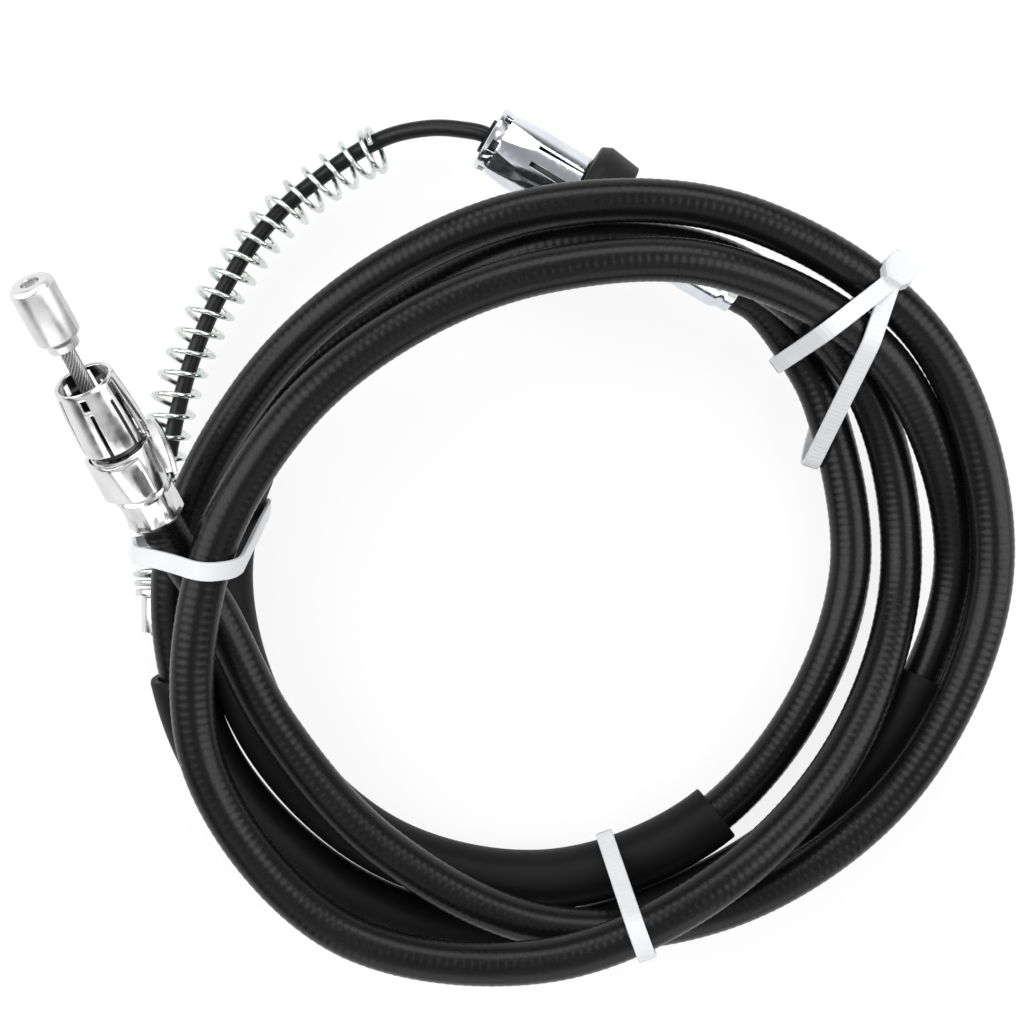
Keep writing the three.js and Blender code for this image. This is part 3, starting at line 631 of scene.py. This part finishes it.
def shell_rows(profile, step):
    """A profile of (along, radius) with rows of points put in at about each step."""
    rows = []
    for (a0, r0), (a1, r1) in zip(profile, profile[1:]):
        for a in spread(a0, a1, step)[:-1]:
            rows.append((a, r0 + (r1 - r0) * (a - a0) / (a1 - a0)))
    return rows + [profile[-1]]


def finger_sleeve_a():
    """A sheet sleeve that narrows to its mouth, cut by long slots and small windows into fingers."""
    profile = [(SLEEVE_A_START, 8.0), (SLEEVE_A_START + 1.2, 8.0), (27.0, 7.9), (31.5, 7.6),
               (SLEEVE_A_RING, 7.3), (36.8, 7.05), (38.9, 6.85), (MOUTH_A, 6.6)]
    rows = shell_rows(profile, 0.5)
    columns = [2.0 * j for j in range(181)]

    def stays(along, angle):
        for k in range(3):
            centre = -8 + 120 * k
            if near(angle, centre + 5, 3.1) and along < 34.3:
                return False
            if near(angle, centre + 2, 6.1) and 35.4 < along < 37.6:
                return False
            if near(angle, centre + 49, 3.1) and along < 35.2:
                return False
            if near(angle, centre + 67, 7.1) and along < 38.4:
                return False
        return True

    shape = Shape()
    shell(shape, FITTING_A, rows, columns, stays)
    return thicken(shape.make("finger_sleeve_a_plate", zinc, sharp=30), SHEET_WALL)


finger_a = finger_sleeve_a()
keep(finger_a, "cable", "zinc_steel", "finger_sleeve_a")


def clip_a():
    """A split ring of sheet round the collar, a little out of round."""
    rows = [(a, CLIP_A_D / 2) for a in spread(CLIP_A_START, CLIP_A_END, 0.7)]
    columns = [3.0 * j for j in range(121)]

    def stays(along, angle):
        return not near(angle, CLIP_A_GAP_AT, CLIP_A_GAP_HALF)

    def lift(along, angle):
        if near(angle, CLIP_A_GAP_AT, CLIP_A_GAP_HALF + 4):
            return 0.0
        return CLIP_A_WAVE * math.sin(math.radians(angle * 5 + along * 9))

    shape = Shape()
    shell(shape, FITTING_A, rows, columns, stays, lift)
    return thicken(shape.make("split_clip_plate", zinc, sharp=30), CLIP_A_WALL)


def prong(shape, rows):
    """A bent strip of sheet at the clip's right, from (along, angle, inner, outer) rows."""
    out = []
    for along, angle, inner, outer in rows:
        corners = [FITTING_A.point(along, inner, angle), FITTING_A.point(along, outer - 0.8, angle),
                   FITTING_A.point(along, outer, angle - 7), FITTING_A.point(along, outer + 0.6, angle - 5)]
        side = (corners[1] - corners[0]).cross(FITTING_A.y).normalized() * PRONG_HALF_WALL
        out.append([c + side for c in corners] + [c - side for c in corners[::-1]])
    base, n = shape.grid(out)
    shape.cap(base, n)
    shape.cap(base + (len(out) - 1) * n, n, flip=True)


clip = clip_a()
keep(clip, "cable", "zinc_steel", "split_clip_a")
shape = Shape()
prong(shape, [(11.5, 74, 7.6, 9.9), (15.5, 76, 7.7, 10.6), (19.5, 78, 7.8, 10.9), (22.8, 80, 8.4, 11.0),
              (25.6, 82, 8.6, 10.4)])
clip_prong = shape.make("split_clip_prong", zinc, sharp=25)
keep(clip_prong, "cable", "zinc_steel")

# The cast barrel end and its strand
shape = Shape()
bore, r, start, end = BARREL_BORE / 2, BARREL_D / 2, BARREL_START, BARREL_END
barrel_rows = rounded([(bore, start), (r - 1.5, start), (r - 1.4, start + 1.8), (r, start + 3.2),
                       (r, end - 0.9), (r - 0.9, end), (bore, end)], 0.3)
turned(shape, FITTING_A, barrel_rows, 64)
barrel = shape.make("barrel_cast", cast, sharp=40)
keep(barrel, "strand", "zinc_steel", "barrel_end_a")


def twisted(name, place, start, end, radius, wires, lay):
    """Wires laid round a core, as a helix about a fitting's axis."""
    thick = radius * math.sin(math.pi / wires) / (1 + math.sin(math.pi / wires))
    shape = Shape()
    n = int((end - start) / 0.5)
    for w in range(wires):
        points = []
        for i in range(n + 1):
            along = start + (end - start) * i / n
            points.append(place.point(along, radius - thick, 360.0 * (w / wires + along / lay)))
        sweep(shape, points, [thick * 1.02] * (n + 1), 8, normal=place.z)
    core = [place.point(start + 0.2), place.point(end - 0.05)]
    sweep(shape, core, [radius - thick] * 2, 16, normal=place.z)
    return shape.make(name, wire, sharp=60)


strand = twisted("strand_wires", FITTING_A, 0.0, BARREL_END - 0.4, STRAND_D / 2, STRAND_WIRES, STRAND_LAY)
keep(strand, "strand", "strand_steel", "strand_a")

# Fitting B
shape = Shape()
bore, r, end = FERRULE_BORE / 2, REAR_B_D / 2, REAR_B_LENGTH
rear_rows = rounded([(bore, 0), (r - 1.1, 0), (r - 1.1, 2.6), (r - 0.3, 4.2), (r, end - 4.0), (r, end),
                     (bore, end)], 0.35)
turned(shape, FITTING_B, rear_rows, 64)
rear_b = shape.make("rear_ferrule_b_plate", zinc_blue, sharp=35)
keep(rear_b, "cable", "zinc_steel", "rear_ferrule_b")

shape = Shape()
shank, flange, tube, chamber = SHANK_B_D / 2, FLANGE_B_D / 2, TUBE_B_D / 2, TUBE_B_BORE / 2
body_rows = rounded([(passage, SHANK_B_START), (shank, SHANK_B_START), (shank, FLANGE_B_START),
                     (flange, FLANGE_B_START), (flange, FLANGE_B_END), (tube, FLANGE_B_END),
                     (tube, TUBE_B_END), (chamber, TUBE_B_END), (chamber, CHAMBER_B_START),
                     (passage, CHAMBER_B_START)], 0.3)
turned(shape, FITTING_B, body_rows, 64)
body_b = shape.make("body_b_plate", zinc_blue, sharp=35)
# Painted shade: the tube past the flange lies in shadow inside the boot and nose and takes the near-black
# metal
shade_past(body_b, FITTING_B, FLANGE_B_END + 0.1)
keep(body_b, "cable", "zinc_steel", "fitting_body_b")

shape = Shape()
r, back = BOOT_D / 2, BOOT_BACK_D / 2
boot_rows = rounded([(shank, BOOT_FACE - 1.6), (shank, BOOT_FACE), (8.9, BOOT_FACE), (9.1, BOOT_FACE - 0.3),
                     (r - 1.2, BOOT_FACE - 0.4), (r, BOOT_FACE - 2.8), (back, BOOT_BACK),
                     (back - 2.2, BOOT_BACK), (back - 2.5, BOOT_FACE - 1.6)], 0.3)
turned(shape, FITTING_B, boot_rows, 80)
dust_boot = shape.make("dust_boot", boot, sharp=40)
keep(dust_boot, "cable", "boot_rubber", "dust_boot_b")


def finger_nose_b():
    """A tapered nose with flattened faces between its notches, and fingers that run back to the boot."""
    profile = [(NOSE_START, 8.7), (56.0, 8.65), (62.5, 8.6), (64.0, 8.55), (NOSE_GROOVE, 8.2),
               (NOSE_GROOVE + 0.6, 8.0), (NOSE_LIP - 0.6, 8.0), (NOSE_LIP, 8.2), (MOUTH_B - 0.4, 8.15),
               (MOUTH_B, 7.8)]
    rows = shell_rows(profile, 0.6)
    columns = [2.0 * j for j in range(181)]

    def tang(angle):
        return any(near(angle, centre, 14) for centre in (5, 125, 245))

    def lift(along, angle):
        # Flat faces that narrow towards the boot, and tangs that spring outwards
        away = math.radians((angle - 16 + 30) % 60 - 30)
        extra = 0.0
        if along < NOSE_GROOVE + 0.1:
            face = 7.7 + (NOSE_GROOVE - along) * 0.105
            r = 8.2 + 0.4 * min(1.0, (NOSE_GROOVE - along) / 8)
            extra = min(0.0, face / math.cos(away) - r)
        if tang(angle) and along < TANG_END:
            extra += TANG_LIFT * (TANG_END - along)
        return extra

    def stays(along, angle):
        for k in range(3):
            centre = 5 + 120 * k
            if (near(angle, centre - 17, 3.1) or near(angle, centre + 14, 3.1)) and along < TANG_END:
                return False
        for k in range(6):
            if near(angle, -20 + 60 * k, 10.1) and NOSE_GROOVE < along < NOSE_LIP:
                return False
        return True

    shape = Shape()
    shell(shape, FITTING_B, rows, columns, stays, lift)
    return thicken(shape.make("finger_nose_plate", zinc_blue, sharp=30), SHEET_WALL)


nose = finger_nose_b()
keep(nose, "cable", "zinc_steel", "finger_nose_b")


# Return spring, spring cup and end button on the coated strand
def frames_along(line, step):
    """Points along a line, each with two sides that don't spin about it."""
    out, side = [], Vector((0, 0, 1))
    n = int(line.length / step)
    for i in range(n + 1):
        s = line.length * i / n
        t = line.tangent(s)
        side = (side - t * side.dot(t)).normalized()
        out.append((line.point(s), side.copy(), t.cross(side)))
    return out


def lean_at(t):
    """How far the spring hangs inwards at a share of its length: first in, then a little out."""
    sag = SPRING_SAG * max(0.0, 1 - t / SPRING_SAG_SHARE)
    return sag - SPRING_BOW * math.sin(math.pi * max(0.0, (t - SPRING_SAG_SHARE) / (1 - SPRING_SAG_SHARE)))


BUTTON_START = COATED.length - BUTTON_TO_END - BUTTON_LENGTH


def make_spring():
    """The coil round the coated strand, with its last turns at each end lying closer together."""
    start = MOUTH_B - COATED_START + SPRING_START
    end = BUTTON_START - SEAT_GAP - CUP_LENGTH - SEAT_GAP - SPRING_WIRE / 2
    frames = frames_along(COATED, 0.5)
    radius = (SPRING_OD - SPRING_WIRE) / 2
    turns = (end - start) / SPRING_PITCH
    squeezed = CLOSED_TURNS / turns * CLOSED_SHARE
    points = []
    steps = int(turns * SPRING_STEPS)
    for i in range(steps + 1):
        t = i / steps
        turn = t * turns
        if turn < CLOSED_TURNS:
            share = t * CLOSED_SHARE
        elif turns - turn < CLOSED_TURNS:
            share = 1 - (1 - t) * CLOSED_SHARE
        else:
            share = squeezed + (1 - 2 * squeezed) * (turn - CLOSED_TURNS) / (turns - 2 * CLOSED_TURNS)
        s = start + (end - start) * share
        place = min(len(frames) - 2, s / COATED.length * (len(frames) - 1))
        lo = int(place)
        p, u, v = frames[lo]
        q = frames[lo + 1][0]
        centre = p.lerp(q, place - lo)
        inwards = Vector((0, 0, 1)).cross(q - p).normalized()
        centre += inwards * lean_at(t)
        angle = 2 * math.pi * turn
        points.append(centre + u * (radius * math.cos(angle)) + v * (radius * math.sin(angle)))
    shape = Shape()
    sweep(shape, points, [SPRING_WIRE / 2] * len(points), 10, normal=Vector((1, 0, 0)))
    return shape.make("return_spring", spring_metal, sharp=50)


spring = make_spring()
keep(spring, "cable", "spring_steel", "return_spring_b")


class Seat(Fitting):
    """Axes at a distance along the coated strand."""

    def __init__(self, line, distance):
        self.root = line.point(distance)
        self.y = line.tangent(distance)
        self.x = self.y.cross(Vector((0, 0, 1))).normalized()
        self.z = self.x.cross(self.y)


shape = Shape()
bore, r = COATED_BORE / 2, BUTTON_D / 2
button_rows = rounded([(bore, 0), (r, 0), (r, BUTTON_LENGTH), (bore, BUTTON_LENGTH)], 0.5)
turned(shape, Seat(COATED, BUTTON_START), button_rows, 48)
button = shape.make("end_button", zinc, sharp=40)
keep(button, "cable", "zinc_steel", "end_button_b")
shape = Shape()
r = CUP_D / 2
cup_rows = rounded([(bore, 0), (r, 0), (r, CUP_LENGTH), (bore, CUP_LENGTH)], 0.3)
turned(shape, Seat(COATED, BUTTON_START - SEAT_GAP - CUP_LENGTH), cup_rows, 48)
cup = shape.make("spring_cup", zinc, sharp=40)
keep(cup, "cable", "zinc_steel", "spring_cup_b")


# Cable ties
def strap_discs():
    discs = []
    for k in range(int(ROUTE.length / 1.0) + 1):
        covered = any(a - 1 < k < b + 1 for a, b in SPANS)
        discs.append((ROUTE.point(k * 1.0), (SLEEVE_OD if covered else CONDUIT_OD) / 2))
    for k in range(int(COATED.length)):
        discs.append((COATED.point(k), SPRING_OD / 2))
    return discs


DISCS = strap_discs()


def hull(circles, margin, count=48):
    points = sorted((x + (r + margin) * math.cos(2 * math.pi * k / count),
                     y + (r + margin) * math.sin(2 * math.pi * k / count))
                    for x, y, r in circles for k in range(count))

    def chain(items):
        kept = []
        for p in items:
            while len(kept) > 1:
                o, q = kept[-2], kept[-1]
                if (q[0] - o[0]) * (p[1] - o[1]) - (q[1] - o[1]) * (p[0] - o[0]) > 1e-6:
                    break
                kept.pop()
            kept.append(p)
        return kept[:-1]

    return [Vector(p) for p in chain(points) + chain(points[::-1])]


def even_loop(points, step):
    """A closed outline's points, evenly spaced, each with its outward side."""
    lengths = [(points[(i + 1) % len(points)] - p).length for i, p in enumerate(points)]
    total = sum(lengths)
    n = int(total / step)
    out, i, at = [], 0, 0.0
    for k in range(n):
        s = total * k / n
        while at + lengths[i] < s:
            at += lengths[i]
            i += 1
        a, b = points[i], points[(i + 1) % len(points)]
        out.append(a.lerp(b, (s - at) / lengths[i]))
    reach = 3
    sides = []
    for k in range(n):
        d = (out[(k + reach) % n] - out[k - reach]).normalized()
        sides.append(Vector((d.y, -d.x)))
    return out, sides, total


def strap(shape, blocks, through, heading, lean, head, twist, about, ribbed):
    """One loop, pulled tight round what passes through its plane; its head's place goes into blocks."""
    h, l, a = math.radians(heading), math.radians(lean), math.radians(head)
    e1 = Vector((math.cos(h), math.sin(h), 0))
    side = Vector((math.sin(h), -math.cos(h), 0))
    e2 = Vector((0, 0, 1)) * math.cos(l) + side * math.sin(l)
    normal = e1.cross(e2)
    origin = Vector(through)
    circles = []

    def leaves(x, y):
        return twist * (x - about) * y

    reach = TIE_WIDTH / 2 + (TWIST_SLACK if twist else 0.0)
    for at, radius in DISCS:
        offset = at - origin
        x, y = offset.dot(e1), offset.dot(e2)
        beyond = max(0.0, abs(offset.dot(normal) - leaves(x, y)) - reach)
        if beyond < radius and abs(x) < TIE_REACH:
            circles.append((x, y, math.sqrt(radius ** 2 - beyond ** 2)))
    outline = hull(circles, TIE_SEAT)
    loop, sides, total = even_loop(outline, 0.3)
    half, wall, edge = TIE_WIDTH / 2, TIE_WALL, TIE_EDGE
    rows, uv = [], []
    for k in range(len(loop) + 1):
        i = k % len(loop)
        s = total * k / len(loop)
        groove = TIE_GROOVE * (0.5 - 0.5 * math.cos(2 * math.pi * s / TIE_GROOVE_PITCH)) if ribbed else 0.0
        section = [(-half, edge), (-half + edge, 0), (half - edge, 0), (half, edge), (half, wall - edge),
                   (half - edge, wall), (half - 0.7, wall - groove), (-half + 0.7, wall - groove),
                   (-half + edge, wall), (-half, wall - edge)]
        row = []
        for across, up in section:
            q = loop[i] + sides[i] * up
            row.append(origin + e1 * q.x + e2 * q.y + normal * (across + leaves(q.x, q.y)))
        rows.append(row)
        uv.append(s)
    shape.grid(rows, uv=uv)
    out = Vector((math.cos(a), math.sin(a)))
    rim = max(outline, key=lambda p: p.dot(out))
    u = Vector((math.sin(a), -math.cos(a)))
    blocks.append((origin + normal * leaves(rim.x, rim.y), e1, e2, normal, rim, u, out))


def head_block(shape, frame_of, size, lift=0.0, slide=0.0):
    """A box with all its edges cut back, on the strap's outside."""
    origin, e1, e2, normal, rim, u, out = frame_of
    length, height, width = size
    rows = []
    cut = HEAD_CUT
    for level, inset in ((0.0, cut), (cut, 0.0), (height - cut, 0.0), (height, cut)):
        a, b = length / 2 - inset, width / 2 - inset
        corners = [(-a + cut, -b), (a - cut, -b), (a, -b + cut), (a, b - cut), (a - cut, b), (-a + cut, b),
                   (-a, b - cut), (-a, -b + cut)]
        row = []
        for x, y in corners:
            q = rim + u * (x + slide) + out * (level + lift)
            row.append(origin + e1 * q.x + e2 * q.y + normal * y)
        rows.append(row)
    base, n = shape.grid(rows[::-1])
    shape.cap(base, n)
    shape.cap(base + 3 * n, n, flip=True)


def shared_head(shape, blocks):
    """The flat head that both crossing straps run into, and the cut end of one of them."""
    tops = [o + a * rim.x + b * rim.y for o, a, b, _, rim, _, _ in blocks]
    middle = (tops[0] + tops[1]) / 2
    turn, tilt = math.radians(HEAD_HEADING), math.radians(HEAD_TILT)
    outward = Vector((math.cos(turn), math.sin(turn), 0))
    across = Vector((outward.y, -outward.x, 0))
    along = outward * math.cos(tilt) - Vector((0, 0, math.sin(tilt)))
    up = outward * math.sin(tilt) + Vector((0, 0, math.cos(tilt)))

    def plate(corners, low, high, inset):
        rows = []
        centre = sum((Vector(c) for c in corners), Vector((0, 0))) / len(corners)
        for level, step in ((low, 0.0), (high - inset, 0.0), (high, inset)):
            row = []
            for c in corners:
                q = Vector(c)
                q += (centre - q).normalized() * step
                row.append(middle + along * q.x + across * q.y + up * level)
            rows.append(row)
        base, n = shape.grid(rows)
        shape.cap(base, n)
        shape.cap(base + 2 * n, n, flip=True)

    plate([(3.4, -3.6), (4.4, -2.6), (4.2, 3.2), (3.0, 4.2), (-1.4, 4.0), (-3.8, 2.4), (-4.0, -1.8),
           (-1.4, -3.6)], -0.4, TIE_WALL + 1.9, 0.5)
    plate([(3.6, -3.0), (7.4, -2.6), (7.8, -1.6), (6.8, -0.8), (3.6, -0.2)], -0.9, 0.4, 0.3)


ties = []
for name, loops in TIES:
    shape, blocks = Shape(), []
    for loop in loops:
        strap(shape, blocks, *loop, ribbed=name != "cable_tie_1")
    if len(blocks) == 2:
        shared_head(shape, blocks)
    else:
        head_block(shape, blocks[0], TIE_HEAD)
        head_block(shape, blocks[0], (1.3, 1.2, TIE_WIDTH - 0.4), lift=TIE_HEAD[1] - 0.1, slide=0.6)
    tie = shape.make(name + "_nylon", nylon, sharp=40)
    ties.append(keep(tie, "cable", "tie_nylon", name))

# The CAD solids that stay as they are
for names, material in ((("armour_end_a", "armour_end_b"), wire), (("liner_end_a", "liner_end_b"), liner),
                        (("wiper_seal_a", "mouth_seal_b"), boot)):
    for name in names:
        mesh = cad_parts[name].data
        mesh.materials.clear()
        mesh.materials.append(material)


# Floor and light
FLOOR_GLOW = 0.85
FLOOR_SIZE = 6.0
FLOOR_DROP = 0.0002


def make_floor():
    material, shader = new_material("floor", (0.9, 0.9, 0.9), 0.6)
    tree = material.node_tree
    path = node(material, "ShaderNodeLightPath")
    glow = node(material, "ShaderNodeEmission", Color=(1, 1, 1, 1), Strength=1.0)
    mix = node(material, "ShaderNodeMixShader")
    seen = node(material, "ShaderNodeMath", operation="MAXIMUM")
    link(material, path.outputs["Is Camera Ray"], seen.inputs[0])
    link(material, path.outputs["Is Glossy Ray"], seen.inputs[1])
    share = node(material, "ShaderNodeMath", operation="MULTIPLY")
    share.inputs[1].default_value = FLOOR_GLOW
    link(material, seen.outputs[0], share.inputs[0])
    link(material, share.outputs[0], mix.inputs["Fac"])
    link(material, shader.outputs[0], mix.inputs[1])
    link(material, glow.outputs[0], mix.inputs[2])
    link(material, mix.outputs[0], tree.nodes["Material Output"].inputs["Surface"])
    bpy.ops.mesh.primitive_plane_add(size=FLOOR_SIZE, location=(0, 0, -FLOOR_DROP))
    floor = bpy.context.object
    floor.name = "floor"
    floor.data.materials.append(material)


make_floor()


def lamp(name, place, size, power):
    data = bpy.data.lights.new(name, "AREA")
    data.shape = "RECTANGLE"
    data.size, data.size_y = size
    data.energy = power
    obj = bpy.data.objects.new(name, data)
    obj.location = place
    obj.rotation_euler = (-Vector(place)).to_track_quat("-Z", "Y").to_euler()
    bpy.context.scene.collection.objects.link(obj)


lamp("lamp_left", (-0.62, 0.12, 0.62), (0.6, 1.0), 6.0)
lamp("lamp_right", (0.68, 0.0, 0.56), (0.5, 1.0), 5.0)
lamp("lamp_top", (0.05, 0.72, 0.6), (1.0, 0.4), 4.0)
lamp("lamp_front", (0.1, -0.9, 0.35), (1.2, 0.5), 3.0)


# The sky's height, from 0 at the horizon to 1 overhead, and its brightness there
SKY = [(0.0, 0.85), (0.12, 0.45), (0.3, 0.1), (0.5, 0.12), (0.62, 0.85), (0.76, 0.9), (0.88, 0.45),
       (1.0, 0.38)]


def make_world():
    world = bpy.data.worlds.new("studio")
    world.use_nodes = True
    bpy.context.scene.world = world
    tree = world.node_tree
    back = tree.nodes["Background"]
    coords = tree.nodes.new("ShaderNodeTexCoord")
    split = tree.nodes.new("ShaderNodeSeparateXYZ")
    colors = tree.nodes.new("ShaderNodeValToRGB")
    tree.links.new(coords.outputs["Generated"], split.inputs[0])
    tree.links.new(split.outputs["Z"], colors.inputs["Fac"])
    elements = colors.color_ramp.elements
    while len(elements) < len(SKY):
        elements.new(0.5)
    for element, (at, level) in zip(elements, SKY):
        element.position = at
        element.color = (level, level, level, 1)
    path = tree.nodes.new("ShaderNodeLightPath")
    mix = tree.nodes.new("ShaderNodeMix")
    mix.data_type = "RGBA"
    tree.links.new(path.outputs["Is Camera Ray"], mix.inputs["Factor"])
    tree.links.new(colors.outputs["Color"], mix.inputs["A"])
    mix.inputs["B"].default_value = (1, 1, 1, 1)
    tree.links.new(mix.outputs["Result"], back.inputs["Color"])
    back.inputs["Strength"].default_value = 1.0


make_world()
bpy.context.scene.view_settings.view_transform = "Standard"
